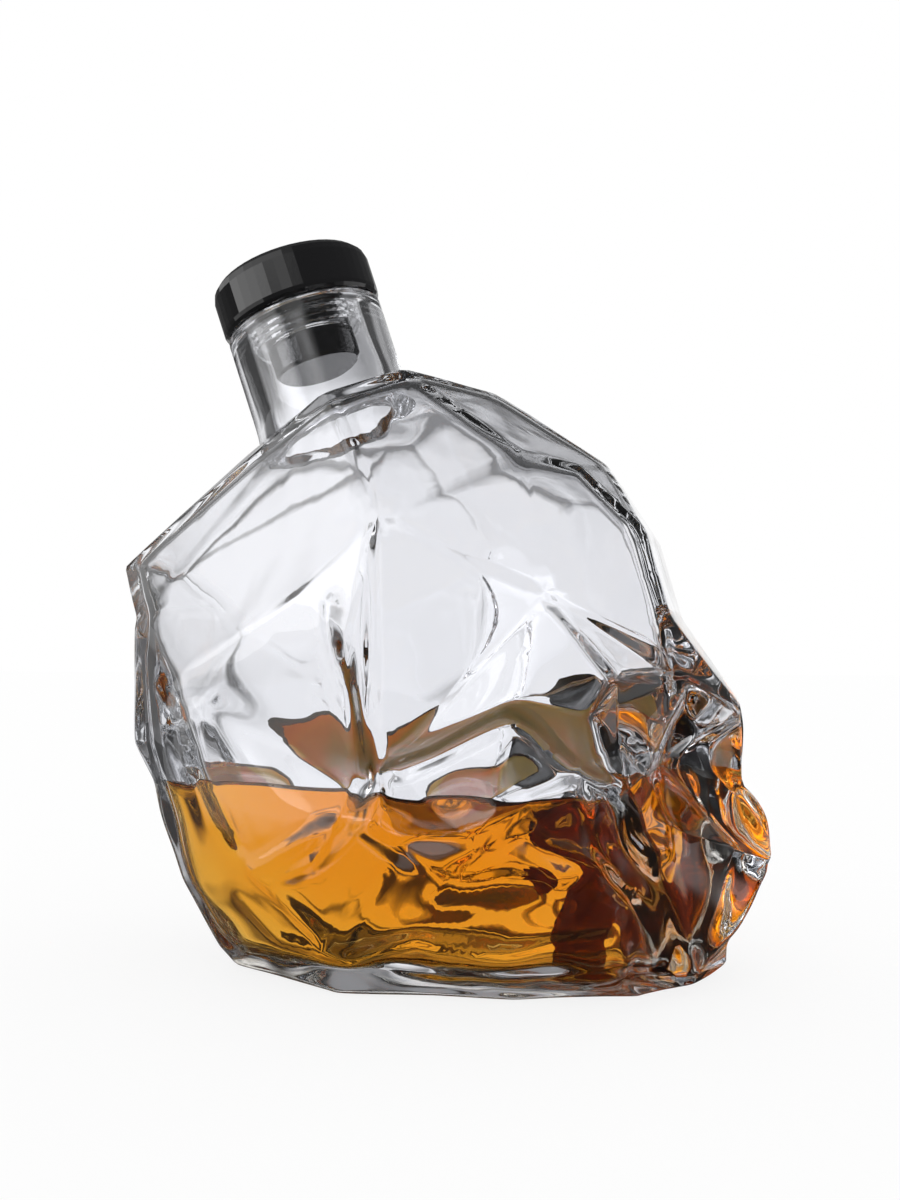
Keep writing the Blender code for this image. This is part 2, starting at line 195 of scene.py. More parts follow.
# Facets of that half, each by its corners
SIDE_FACETS = [
    ("crown", "crown_front", "temple_top"),
    ("crown_front", "forehead_peak", "forehead_top", "temple_top"),
    ("forehead_peak", "forehead_mid", "forehead_top"),
    ("crown", "temple_top", "parietal"),
    ("crown", "parietal", "shoulder"),
    ("crown", "shoulder", "neck_heel"),
    ("neck_heel", "shoulder", "occiput"),
    ("shoulder", "back_top", "occiput"),
    ("shoulder", "parietal", "parietal_low", "nape_top", "back_top"),
    ("parietal", "ear_top", "parietal_low"),
    ("parietal_low", "ear_top", "ear_mid", "nape_mid", "nape_top"),
    ("nape_mid", "ear_mid", "ear_low", "nape_low"),
    ("nape_low", "ear_low", "nape_foot"),
    ("ear_mid", "ear_pit", "ear_low"),
    ("back_top", "nape_top", "nape_mid", "back_mid"),
    ("back_mid", "nape_mid", "nape_low", "back_under"),
    ("back_under", "nape_low", "nape_foot", "back_low"),
    ("back_low", "nape_foot", "foot_back", "back_foot"),
    ("back_foot", "foot_back", "base_side", "base_back"),
    ("parietal", "temple_top", "temple_mid"),
    ("temple_top", "forehead_top", "forehead_mid", "temple_mid"),
    ("forehead_mid", "forehead_low", "temple_mid"),
    ("forehead_low", "brow_tail", "temple_mid"),
    ("brow_tail", "temple_low", "temple_mid"),
    ("temple_low", "arch_front", "arch_mid", "temple_mid"),
    ("arch_mid", "arch_back", "temple_mid"),
    ("arch_back", "parietal", "temple_mid"),
    ("parietal", "arch_back", "ear_top"),
    ("ear_top", "arch_back", "ear_pit", "ear_mid"),
    ("arch_back", "arch_mid", "arch_rim_mid", "arch_rim_back"),
    ("arch_mid", "arch_front", "arch_rim_front", "arch_rim_mid"),
    ("arch_back", "arch_rim_back", "ear_pit"),
    ("arch_front", "cheek_top", "arch_rim_front"),
    ("temple_low", "cheek_top", "arch_front"),
    ("forehead_low", "brow_middle", "brow", "brow_tail"),
    ("brow_tail", "brow", "temple_low"),
    ("temple_low", "brow", "socket_side", "cheek_top"),
    ("cheek_top", "socket_side", "socket_low", "cheek_mid"),
    ("arch_rim_front", "cheek_top", "cheek_mid"),
    ("arch_rim_front", "cheek_mid", "cheek_low"),
    ("cheek_mid", "socket_low", "cheek_low"),
    ("brow", "brow_middle", "socket_deep"),
    ("brow_middle", "nose_bridge", "socket_deep"),
    ("nose_bridge", "nose_side", "socket_deep"),
    ("nose_side", "socket_low", "socket_deep"),
    ("socket_low", "socket_side", "socket_deep"),
    ("socket_side", "brow", "socket_deep"),
    ("nose_bridge", "nose_tip", "nose_side"),
    ("nose_side", "nose_tip", "socket_low"),
    ("socket_low", "nose_tip", "jaw_corner"),
    ("socket_low", "jaw_corner", "cheek_low"),
    ("nose_tip", "teeth", "jaw_corner"),
    ("jaw_corner", "teeth", "teeth_foot"),
    ("jaw_corner", "teeth_foot", "base_tip"),
    ("arch_rim_back", "arch_rim_mid", "jaw_mid"),
    ("arch_rim_mid", "arch_rim_front", "jaw_mid"),
    ("arch_rim_back", "jaw_mid", "jaw_back", "ear_pit"),
    ("ear_low", "ear_pit", "jaw_back"),
    ("ear_low", "jaw_back", "jaw_low", "foot_back"),
    ("nape_foot", "ear_low", "foot_back"),
    ("jaw_back", "jaw_mid", "jaw_low"),
    ("jaw_mid", "arch_rim_front", "cheek_low", "jaw_front"),
    ("jaw_low", "jaw_mid", "jaw_front", "foot_mid"),
    ("foot_back", "jaw_low", "foot_mid"),
    ("jaw_front", "cheek_low", "jaw_corner", "foot_front"),
    ("foot_mid", "jaw_front", "foot_front"),
    ("foot_back", "foot_mid", "base_mid", "base_side"),
    ("foot_mid", "foot_front", "base_front", "base_mid"),
    ("foot_front", "jaw_corner", "base_tip", "base_front"),
]

# Facets that cross the middle: the corners of one half in order, and the mirrored ones follow them back
MIDDLE_FACETS = [
    ("crown_front", "crown"),
    ("crown", "neck_heel"),
    ("neck_heel", "occiput"),
    ("occiput", "back_top"),
    ("back_top", "back_mid"),
    ("back_mid", "back_under"),
    ("back_under", "back_low"),
    ("back_low", "back_foot"),
    ("back_foot", "base_back"),
    ("base_back", "base_side", "base_mid", "base_front", "base_tip"),
    ("base_tip", "teeth_foot"),
    ("forehead_mid", "forehead_peak"),
    ("forehead_low", "forehead_mid"),
    ("brow_middle", "forehead_low"),
]

# Folds along both sides: the rise, the half width and the route, in shares of length and height
SIDE_FOLDS = (
    (0.0019, 0.0024, ((0.440, 0.600), (0.450, 0.540), (0.463, 0.462), (0.473, 0.356))),
    (0.0017, 0.0023, ((0.473, 0.350), (0.443, 0.270), (0.398, 0.215), (0.337, 0.185))),
    (0.0011, 0.0017, ((0.502, 0.357), (0.575, 0.385), (0.665, 0.440), (0.697, 0.419), (0.743, 0.368),
                      (0.798, 0.345))),
    (-0.0011, 0.0018, ((0.485, 0.330), (0.470, 0.265), (0.507, 0.230), (0.575, 0.197))),
    (0.0012, 0.0020, ((0.811, 0.411), (0.838, 0.356), (0.820, 0.275), (0.846, 0.246))),
    (-0.0012, 0.0022, ((0.780, 0.324), (0.725, 0.291), (0.651, 0.247), (0.594, 0.213))),
    (0.0010, 0.0020, ((0.771, 0.262), (0.811, 0.194), (0.833, 0.140))),
    (-0.0009, 0.0015, ((0.195, 0.459), (0.216, 0.371), (0.280, 0.231))),
    (0.0010, 0.0018, ((0.264, 0.140), (0.330, 0.085), (0.428, 0.066), (0.527, 0.105), (0.651, 0.090),
                      (0.780, 0.115))),
    (0.0007, 0.0014, ((0.490, 0.738), (0.490, 0.569), (0.483, 0.360))),
    (-0.0030, 0.0037, ((0.520, 0.246), (0.616, 0.267), (0.680, 0.302), (0.743, 0.325))),
    (-0.0027, 0.0033, ((0.690, 0.253), (0.768, 0.214), (0.731, 0.177))),
    (-0.0022, 0.0028, ((0.566, 0.182), (0.693, 0.192))),
    (0.0016, 0.0026, ((0.771, 0.326), (0.783, 0.243), (0.830, 0.173))),
    (0.0015, 0.0022, ((0.414, 0.083), (0.302, 0.194), (0.424, 0.275))),
    (-0.0012, 0.0020, ((0.455, 0.162), (0.489, 0.200), (0.449, 0.118))),
    (0.0008, 0.0013, ((0.138, 0.474), (0.197, 0.406), (0.203, 0.338))),
)

# The inside of the glass is plainer than the outside: each of these corners falls in with another
INSIDE_FALLS_IN = {
    "brow_tail": "brow",
    "arch_back": "ear_pit",
    "arch_rim_back": "ear_pit",
    "ear_mid": "ear_pit",
    "arch_rim_mid": "arch_mid",
    "arch_rim_front": "arch_front",
    "cheek_top": "arch_front",
    "socket_side": "arch_front",
    "cheek_mid": "cheek_low",
    "socket_low": "cheek_low",
    "back_foot": "base_back",
    "foot_back": "base_side",
    "foot_mid": "base_mid",
    "foot_front": "base_front",
    "jaw_corner": "base_tip",
    "teeth": "nose_tip",
    "teeth_foot": "nose_tip",
    "jaw_back": "ear_low",
    "jaw_low": "ear_low",
    "nape_mid": "nape_top",
    "back_mid": "back_under",
}


def scene_object(name, mesh):
    thing = bpy.data.objects.new(name, mesh)
    bpy.context.scene.collection.objects.link(thing)
    return thing


def from_bmesh(name, bm, parent=None):
    mesh = bpy.data.meshes.new(name)
    bm.to_mesh(mesh)
    bm.free()
    thing = scene_object(name, mesh)
    thing.parent = parent
    return thing


def baked(thing, name):
    """The object as its modifiers make it, in the model's frame, in place of the object."""
    bpy.context.view_layer.update()
    graph = bpy.context.evaluated_depsgraph_get()
    seen = thing.evaluated_get(graph)
    mesh = bpy.data.meshes.new_from_object(seen, preserve_all_data_layers=True, depsgraph=graph)
    mesh.transform(seen.matrix_world)
    mesh.name = name
    bpy.data.objects.remove(thing, do_unlink=True)
    return scene_object(name, mesh)


def boolean(thing, operation, other):
    step = thing.modifiers.new(f"{operation.lower()} {other.name}", "BOOLEAN")
    step.operation = operation
    step.solver = "MANIFOLD"
    step.object = other


def weld(thing):
    step = thing.modifiers.new("one skin", "WELD")
    step.merge_threshold = JOIN_DISTANCE


def soft_shading(thing):
    mesh = thing.data
    mesh.shade_smooth()
    mesh.set_sharp_from_angle(angle=SHARP_ANGLE)
    weigh = thing.modifiers.new("flat facets", "WEIGHTED_NORMAL")
    weigh.keep_sharp = True
    weigh.weight = FACET_WEIGHT


def give_materials(thing, *materials):
    thing.data.materials.clear()
    for material in materials:
        thing.data.materials.append(material)


# Skull

def corner_place(name, side):
    along, out, up = CORNER_SHARES[name]
    return Vector(((along - MIDDLE) * BODY_LENGTH, side * out * BODY_HALF_WIDTH, up * BODY_HEIGHT))


def skull_facets(falls_in):
    """Facets as loops of (corner, side), where side is 1, -1 or 0 in the middle."""

    def key(name, side):
        kept = falls_in.get(name, name)
        return kept, side if CORNER_SHARES[kept][1] else 0

    loops = []
    for names in SIDE_FACETS:
        loops.append([key(name, 1) for name in names])
        loops.append([key(name, -1) for name in reversed(names)])
    for names in MIDDLE_FACETS:
        near = [key(name, 1) for name in names]
        back = [key(name, -1) for name in reversed(names)]
        loops.append(near + back)
    facets = []
    for loop in loops:
        kept = []
        for corner in loop:
            if corner not in kept:
                kept.append(corner)
        if len(kept) > 2:
            facets.append(kept)
    return facets


def skull_cage(falls_in):
    bm = bmesh.new()
    corners = {}
    for facet in skull_facets(falls_in):
        for corner in facet:
            if corner not in corners:
                corners[corner] = bm.verts.new(corner_place(*corner))
        bm.faces.new([corners[corner] for corner in facet])
    bm.normal_update()
    return bm


def stands_on_ground(face):
    return all(corner.co.z == 0 for corner in face.verts)


def draw_in(bm, wall, base):
    """Moves each corner inwards, so that every facet around it lies its glass thickness further in."""
    moves = {}
    steadying = np.eye(3) * STEADYING_SHARE
    for corner in bm.verts:
        faces = corner.link_faces
        facing = np.array([face.normal[:] for face in faces])
        depth = np.array([base if stands_on_ground(face) else wall for face in faces])
        moves[corner] = np.linalg.solve(facing.T @ facing + steadying, facing.T @ -depth)
    for corner, move in moves.items():
        corner.co += Vector(move)
    bm.normal_update()


def refine(thing, levels, rounds, low_rounds, low_shares):
    """Divides the facets finely and softens their edges, with more rounds below a share of the height."""
    low = thing.vertex_groups.new(name="low")
    for corner in thing.data.vertices:
        share = float(np.interp(corner.co.z / BODY_HEIGHT, low_shares, (1.0, 0.0)))
        low.add([corner.index], share, "REPLACE")
    fine = thing.modifiers.new("fine mesh", "SUBSURF")
    fine.subdivision_type = "SIMPLE"
    fine.levels = levels
    fine.render_levels = levels
    for label, count, group in (("edges", rounds, ""), ("low edges", low_rounds, "low")):
        smooth = thing.modifiers.new(label, "SMOOTH")
        smooth.factor = SMOOTHING_STRENGTH
        smooth.iterations = count
        smooth.vertex_group = group
    split = thing.modifiers.new("triangles", "TRIANGULATE")
    split.quad_method = "FIXED"


def thicken_low_glass(bm):
    """Draws the inside further in low down, and its front back from the nose and the teeth."""
    front = (SOLID_FRONT_START - MIDDLE) * BODY_LENGTH
    for corner in bm.verts:
        height = corner.co.z / BODY_HEIGHT
        corner.co.x *= np.interp(height, LOW_GLASS_SHARES, (1.0 - LOW_BACK_DRAW, 1.0))
        corner.co.y *= np.interp(height, LOW_GLASS_SHARES, (1.0 - LOW_SIDE_DRAW, 1.0))
        if corner.co.x > front:
            kept = np.interp(height, SOLID_FRONT_SHARES, (SOLID_FRONT_SHARE, 1.0))
            corner.co.x = front + (corner.co.x - front) * kept


def inside_of_glass(name, shell):
    """The blown inside: smoother than the outside, so that the glass is thick on ridges and thin in folds."""
    bm = skull_cage(INSIDE_FALLS_IN)
    draw_in(bm, WALL, BASE_THICKNESS)
    thicken_low_glass(bm)
    thing = from_bmesh(name, bm)
    refine(thing, INSIDE_LEVELS, INSIDE_SMOOTHING, LOW_INSIDE_SMOOTHING, LOW_INSIDE_SHARES)
    inside = baked(thing, name)
    for corner in inside.data.vertices:
        near, facing, _, _ = shell.find_nearest(corner.co)
        depth = (near - corner.co).dot(facing)
        if depth < THINNEST_GLASS:
            corner.co -= facing * (THINNEST_GLASS - depth)
    return inside


def distance_to_route(places, route):
    """How far each place is from a route of straight steps, in the plane of both."""
    nearest = np.full(len(places), np.inf)
    for start, end in zip(route, route[1:]):
        step = end - start
        share = np.clip((places - start) @ step / (step @ step), 0.0, 1.0)
        nearest = np.minimum(nearest, np.linalg.norm(places - start - share[:, None] * step, axis=1))
    return nearest


def rise_at(places):
    """How far the outside stands out at each place, from the folds of both sides and the relief."""
    side = places[:, [0, 2]]
    rise = np.zeros(len(places))
    for height, width, route in SIDE_FOLDS:
        steps = (np.array(route) - (MIDDLE, 0.0)) * (BODY_LENGTH, BODY_HEIGHT)
        rise += height * np.exp(-(distance_to_route(side, steps) / width) ** 2)
    rise *= np.clip(np.abs(places[:, 1]) / BODY_HALF_WIDTH, 0.0, 1.0)
    wave = np.array([noise.noise(Vector(place) / RELIEF_SIZE) for place in places])
    high = np.interp(places[:, 2] / BODY_HEIGHT, RELIEF_SHARES, (0.0, 1.0))
    front = np.interp(places[:, 0] / BODY_LENGTH + MIDDLE, FRONT_SHARES, (0.0, 1.0))
    rise += RELIEF_DEPTH * wave * (1.0 + FRONT_RELIEF * front) * (1.0 + (HIGH_RELIEF_SHARE - 1.0) * high)
    return rise * np.clip(places[:, 2] / FOOT_RISE, 0.0, 1.0)


def outside_of_glass(name):
    """The moulded outside: facets with softened edges, and folds that stand out or in along both sides."""
    thing = from_bmesh(name, skull_cage({}))
    refine(thing, OUTSIDE_LEVELS, CRISP_SMOOTHING, SOFT_SMOOTHING, CRISP_SHARES)
    outside = baked(thing, name)
    places = np.array([corner.co[:] for corner in outside.data.vertices])
    facing = np.array([corner.normal[:] for corner in outside.data.vertices])
    places += facing * rise_at(places)[:, None]
    places = np.clip(places, *np.array(CAD_BOX))
    for corner, place in zip(outside.data.vertices, places):
        corner.co = place
    return outside


def tree_of(thing):
    """The surface of an object without its Booleans, for measuring distances to it."""
    bpy.context.view_layer.update()
    return BVHTree.FromObject(thing, bpy.context.evaluated_depsgraph_get())


# Neck

def arc(middle_radius, middle_height, radius, start, end):
    points = []
    for step in range(ARC_STEPS + 1):
        angle = start + (end - start) * step / ARC_STEPS
        points.append((middle_radius + radius * math.cos(angle), middle_height + radius * math.sin(angle)))
    return points


def turned(name, profile, parent):
    bm = bmesh.new()
    points = [bm.verts.new((radius, 0.0, height)) for radius, height in profile]
    for upper, lower in zip(points, points[1:]):
        bm.edges.new((upper, lower))
    thing = from_bmesh(name, bm, parent)
    turn = thing.modifiers.new("turn", "SCREW")
    turn.axis = "Z"
    turn.steps = ROUND_STEPS
    turn.render_steps = ROUND_STEPS
    turn.use_merge_vertices = True
    turn.merge_threshold = JOIN_DISTANCE
    turn.use_smooth_shade = True
    return thing


def neck_outside(axis):
    profile = [(0.0, 0.0)]
    profile += arc(NECK_RADIUS - RIM_ROUNDING, -RIM_ROUNDING, RIM_ROUNDING, QUARTER, 0.0)
    flare_top = NECK_FLARE_HEIGHT - NECK_LENGTH
    for step in range(ARC_STEPS + 1):
        share = step / ARC_STEPS
        spread = NECK_FLARE * (1 - math.cos(share * QUARTER))
        profile.append((NECK_RADIUS + spread, flare_top - NECK_FLARE_HEIGHT * math.sin(share * QUARTER)))
    profile.append((0.0, -NECK_LENGTH))
    return turned("neck_outside", profile, axis)


def neck_bore(axis):
    profile = [(0.0, OVERRUN), (BORE_RADIUS + RIM_ROUNDING, OVERRUN)]
    profile += arc(BORE_RADIUS + RIM_ROUNDING, RIM_LIFT - RIM_ROUNDING, RIM_ROUNDING, QUARTER, 2 * QUARTER)
    profile += [(BORE_RADIUS, -NECK_LENGTH), (0.0, -NECK_LENGTH)]
    return turned("neck_bore", profile, axis)


def leaning_axis():
    axis = bpy.data.objects.new("neck_axis", None)
    bpy.context.scene.collection.objects.link(axis)
    along, up = NECK_FOOT_SHARES
    foot = Vector(((along - MIDDLE) * BODY_LENGTH, 0.0, up * BODY_HEIGHT))
    lean = Vector((-math.sin(NECK_LEAN), 0.0, math.cos(NECK_LEAN)))
    axis.location = foot + lean * NECK_LENGTH
    axis.rotation_euler = (0.0, -NECK_LEAN, 0.0)
    return axis


def make_glass(body, shell, material):
    axis = leaning_axis()
    neck, inside, bore = neck_outside(axis), inside_of_glass("glass_inside", shell), neck_bore(axis)
    boolean(body, "UNION", neck)
    boolean(body, "DIFFERENCE", inside)
    boolean(body, "DIFFERENCE", bore)
    weld(body)
    glass = baked(body, "glass_shell")
    for helper in (neck, inside, bore, axis):
        bpy.data.objects.remove(helper, do_unlink=True)
    soft_shading(glass)
    give_materials(glass, material)
    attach(glass, "bottle")
    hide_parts("glass_body")


def faces_at(bm, level):
    return [face for face in bm.faces
            if all(abs(corner.co.z - level) < JOIN_DISTANCE for corner in face.verts)]


def draw_down_surface(whisky):
    """Lowers the surface inside its rim, so that the whisky climbs the glass a little all round."""
    bm = bmesh.new()
    bm.from_mesh(whisky.data)
    level = FILL_HEIGHT + MENISCUS_RISE
    bmesh.ops.dissolve_faces(bm, faces=faces_at(bm, level), use_verts=False)
    top = faces_at(bm, level)
    bmesh.ops.inset_region(
        bm, faces=top, thickness=MENISCUS_WIDTH, depth=-MENISCUS_RISE, use_even_offset=True)
    for face in top:
        face.material_index = SURFACE_MATERIAL
    bm.to_mesh(whisky.data)
    bm.free()


def make_whisky(shell, material, surface_material):
    liquid = inside_of_glass("whisky_body", shell)
    spread = liquid.modifiers.new("into the glass", "DISPLACE")
    spread.direction = "NORMAL"
    spread.mid_level = 0.0
    spread.strength = LIQUID_OVERLAP
    bm = bmesh.new()
    cube = 1.0
    bmesh.ops.create_cube(bm, size=cube)
    for corner in bm.verts:
        corner.co.x *= AIR_SPREAD * BODY_LENGTH
        corner.co.y *= AIR_SPREAD * 2 * BODY_HALF_WIDTH
        corner.co.z = FILL_HEIGHT + MENISCUS_RISE + (corner.co.z + cube / 2) * BODY_HEIGHT
    air = from_bmesh("air_above_whisky", bm)
    boolean(liquid, "DIFFERENCE", air)
    whisky = baked(liquid, "whisky_body")
    bpy.data.objects.remove(air, do_unlink=True)
    give_materials(whisky, material, surface_material)
    draw_down_surface(whisky)
    whisky.data.shade_smooth()
    whisky.data.set_sharp_from_angle(angle=SHARP_ANGLE)
    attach(whisky, "bottle")
    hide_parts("whisky")


# Materials

WHITE = (1.0, 1.0, 1.0, 1.0)

# A noise is its scale, detail, roughness and distortion, a bump its strength and distance, and a ramp
# two values of the noise and what each of them turns into.
GLASS_COLOUR = (0.955, 0.96, 0.985, 1.0)
GLASS_INDEX = 1.5
GLASS_TINT = (0.80, 0.82, 0.86, 1.0)
GLASS_TINT_DENSITY = 6.0
GLASS_WAVES = (45.0, 1.5, 0.4, 0.3)
GLASS_RIPPLE = (260.0, 2.0, 0.5)
GLASS_RIPPLE_SHARE = 0.02
GLASS_BUMP = (0.35, 0.0012)
GLASS_HAZE = (90.0, 4.0, 0.6)
GLASS_HAZE_RAMP = (0.45, 0.75, 0.0, 0.035)

# The whisky and its surface: base colour, roughness, refractive index, solidity and clearness
WHISKY_LOOK = ((1.0, 0.94, 0.82), 0.0, 1.36, 1.0, 1.0)
WHISKY_SURFACE_LOOK = ((0.98, 0.72, 0.20), 0.15, 1.15, 0.82, 0.42)
WHISKY_TINT = (0.995, 0.765, 0.03, 1.0)
WHISKY_TINT_DENSITY = 52.0
WHISKY_SWIRL = (30.0, 1.0, 0.4)
WHISKY_BUMP = (0.05, 0.0005)

# The cap and the plug: colour, and roughness where each is most and least polished
CAP_LOOK = ((0.010, 0.010, 0.011), 0.03, 0.10)
PLUG_LOOK = ((0.012, 0.012, 0.013), 0.06, 0.16)
BLACK_INDEX = 1.5
BLACK_WEAR = (60.0, 6.0, 0.6)
BLACK_WEAR_RANGE = (0.3, 0.75)
BLACK_GRAIN = (900.0, 2.0, 0.5)
BLACK_BUMP = (0.02, 0.0003)

SILICONE_COLOUR = (0.97, 0.975, 0.97, 1.0)
SILICONE_INDEX = 1.41
SILICONE_CLOUD = (120.0, 3.0, 0.5)
SILICONE_CLOUD_RAMP = (0.3, 0.7, 0.02, 0.08)


class Nodes:
    """Short calls for making a node tree."""

    def __init__(self, name, kind="material"):
        if kind == "world":
            self.owner = bpy.data.worlds.new(name)
        else:
            self.owner = bpy.data.materials.new(name)
        self.owner.use_nodes = True
        self.tree = self.owner.node_tree
        self.tree.nodes.clear()

    def add(self, kind, **settings):
        node = self.tree.nodes.new(kind)
        inputs = settings.pop("inputs", {})
        for key, value in settings.items():
            setattr(node, key, value)
        for key, value in inputs.items():
            if isinstance(value, bpy.types.NodeSocket):
                self.tree.links.new(value, node.inputs[key])
            else:
                node.inputs[key].default_value = value
        return node

    def maths(self, operation, *values, clamp=False):
        return self.add("ShaderNodeMath", operation=operation, use_clamp=clamp,
                        inputs=dict(enumerate(values))).outputs[0]

    def blend(self, share, first, second):
        return self.add("ShaderNodeMix", data_type="FLOAT",
                        inputs={0: share, 2: first, 3: second}).outputs[0]

    def ramp(self, value, low, high, to_low, to_high):
        return self.add("ShaderNodeMapRange", inputs={
            "Value": value, "From Min": low, "From Max": high,
            "To Min": to_low, "To Max": to_high}).outputs["Result"]

    def noise(self, scale, detail, roughness, distortion=0.0):
        place = self.add("ShaderNodeTexCoord").outputs["Object"]
        return self.add("ShaderNodeTexNoise", inputs={
            "Vector": place, "Scale": scale, "Detail": detail, "Roughness": roughness,
            "Distortion": distortion}).outputs["Fac"]

    def bump(self, height, strength, distance):
        return self.add("ShaderNodeBump", inputs={
            "Strength": strength, "Distance": distance, "Height": height}).outputs["Normal"]

    def shader(self, colour, roughness, index, others):
        return self.add("ShaderNodeBsdfPrincipled", inputs={
            "Base Color": colour, "Roughness": roughness, "IOR": index, **others}).outputs["BSDF"]

    def tint(self, colour, density):
        return self.add("ShaderNodeVolumeAbsorption", inputs={
            "Color": colour, "Density": density}).outputs["Volume"]

    def finish(self, **ends):
        self.add("ShaderNodeOutputMaterial", inputs=ends)
        return self.owner


def glass_material():
    made = Nodes("clear_glass")
    ripple = made.maths("MULTIPLY", made.noise(*GLASS_RIPPLE), GLASS_RIPPLE_SHARE)
    bump = made.bump(made.maths("ADD", made.noise(*GLASS_WAVES), ripple), *GLASS_BUMP)
    haze = made.ramp(made.noise(*GLASS_HAZE), *GLASS_HAZE_RAMP)
    shader = made.shader(GLASS_COLOUR, haze, GLASS_INDEX, {
        "Metallic": 0.0, "Transmission Weight": 1.0, "Normal": bump})
    return made.finish(Surface=shader, Volume=made.tint(GLASS_TINT, GLASS_TINT_DENSITY))


def whisky_material(name, colour, roughness, index, solidity, clearness):
    made = Nodes(name)
    bump = made.bump(made.noise(*WHISKY_SWIRL), *WHISKY_BUMP)
    shader = made.shader((*colour, 1.0), roughness, index, {
        "Alpha": solidity, "Transmission Weight": clearness, "Normal": bump})
    return made.finish(Surface=shader, Volume=made.tint(WHISKY_TINT, WHISKY_TINT_DENSITY))


def black_material(name, colour, polished, worn):
    made = Nodes(name)
    wear = made.ramp(made.noise(*BLACK_WEAR), *BLACK_WEAR_RANGE, polished, worn)
    bump = made.bump(made.noise(*BLACK_GRAIN), *BLACK_BUMP)
    return made.finish(Surface=made.shader((*colour, 1.0), wear, BLACK_INDEX, {"Normal": bump}))


def silicone_material():
    made = Nodes("clear_silicone")
    cloud = made.ramp(made.noise(*SILICONE_CLOUD), *SILICONE_CLOUD_RAMP)
    shader = made.shader(SILICONE_COLOUR, cloud, SILICONE_INDEX, {"Transmission Weight": 1.0})
    return made.finish(Surface=shader)


def dress_stopper():
    looks = {
        "stopper_cap": black_material("black_cap", *CAP_LOOK),
        "stopper_plug": black_material("black_plug", *PLUG_LOOK),
        "stopper_seal": silicone_material(),
    }
    for name, look in looks.items():
        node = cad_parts[name]
        give_materials(node, look)
        weld(node)
        smooth = node.modifiers.new("flat facets", "WEIGHTED_NORMAL")
        smooth.keep_sharp = True


# Studio

# What glass and gloss see round the bottle, as cards of (azimuth, half width, low, high, brightness),
# each over the ones before it, with angles in degrees. Azimuth 0 lies along +Y and 90 along -X.
SEEN_THROUGH = (
    (14, 180, -90, 90, 0.05),
    (8, 24, -60, 32, 0.32),
    (8, 24, -60, 13, 1.00),
    (36, 10, -60, 3, 0.95),
    (225, 26, -60, 5, 0.90),
    (300, 18, -60, 45, 0.95),
    (138, 50, 16, 55, 1.30),
    (118, 16, -60, 45, 0.95),
    (128, 26, -8, 26, 3.40),
)
MIRRORED = (
    (14, 180, -90, 90, 0.12),
    (6, 20, -60, 19, 1.00),
    (128, 66, 16, 55, 1.30),
    (128, 26, -8, 26, 2.60),
)
CARD_EDGE = 4.0  # half the angle over which a card fades at its edges
HALF_TURN = 180.0


def card_light(made, cards, azimuth, height):
    level = 0.0
    for centre, half_width, low, high, brightness in cards:
        turn = made.maths("SUBTRACT", azimuth, centre)
        away = made.maths("ABSOLUTE", made.maths("WRAP", turn, HALF_TURN, -HALF_TURN))
        inside = made.ramp(away, half_width - CARD_EDGE, half_width + CARD_EDGE, 1.0, 0.0)
        above = made.ramp(height, low - CARD_EDGE, low + CARD_EDGE, 0.0, 1.0)
        below = made.ramp(height, high - CARD_EDGE, high + CARD_EDGE, 1.0, 0.0)
        cover = made.maths("MULTIPLY", made.maths("MULTIPLY", inside, above), below)
        level = made.blend(cover, level, brightness)
    return level


def azimuth_and_rise(made, direction):
    """The azimuth of a direction in degrees, and how far it rises."""
    along, across, rise = made.add("ShaderNodeSeparateXYZ", inputs={0: direction}).outputs
    turn = made.maths("ARCTAN2", made.maths("MULTIPLY", along, -1.0), across)
    return made.maths("DEGREES", turn), rise


def seen_in_glass(made, path):
    """1 for a ray that has met glass or gloss, and 0 for any other."""
    return made.maths("ADD", path["Is Transmission Ray"], path["Is Glossy Ray"], clamp=True)


def make_world():
    made = Nodes("studio", "world")
    azimuth, rise = azimuth_and_rise(made, made.add("ShaderNodeTexCoord").outputs["Generated"])
    height = made.maths("DEGREES", made.maths("ARCSINE", rise))
    path = made.add("ShaderNodeLightPath")
    level = 1.0
    for ray, cards in (("Is Glossy Ray", MIRRORED), ("Is Transmission Ray", SEEN_THROUGH)):
        level = made.blend(path.outputs[ray], level, card_light(made, cards, azimuth, height))
    light = made.add("ShaderNodeBackground", inputs={"Color": WHITE, "Strength": level})
    made.add("ShaderNodeOutputWorld", inputs={"Surface": light.outputs["Background"]})
    bpy.context.scene.world = made.owner


FLOOR_REACH = 4.0
FLOOR_TONE = 0.30  # in diffuse light
SEEN_FLOOR_TONE = 0.08  # in glass and gloss
CAMERA_FLOOR_TONE = 0.95
FLOOR_WHITE_SHARE = 0.85  # of the white backdrop in what the camera sees of the floor
NEAR_FLOOR = (0.14, 0.30)  # the floor that glass sees grows white between these distances


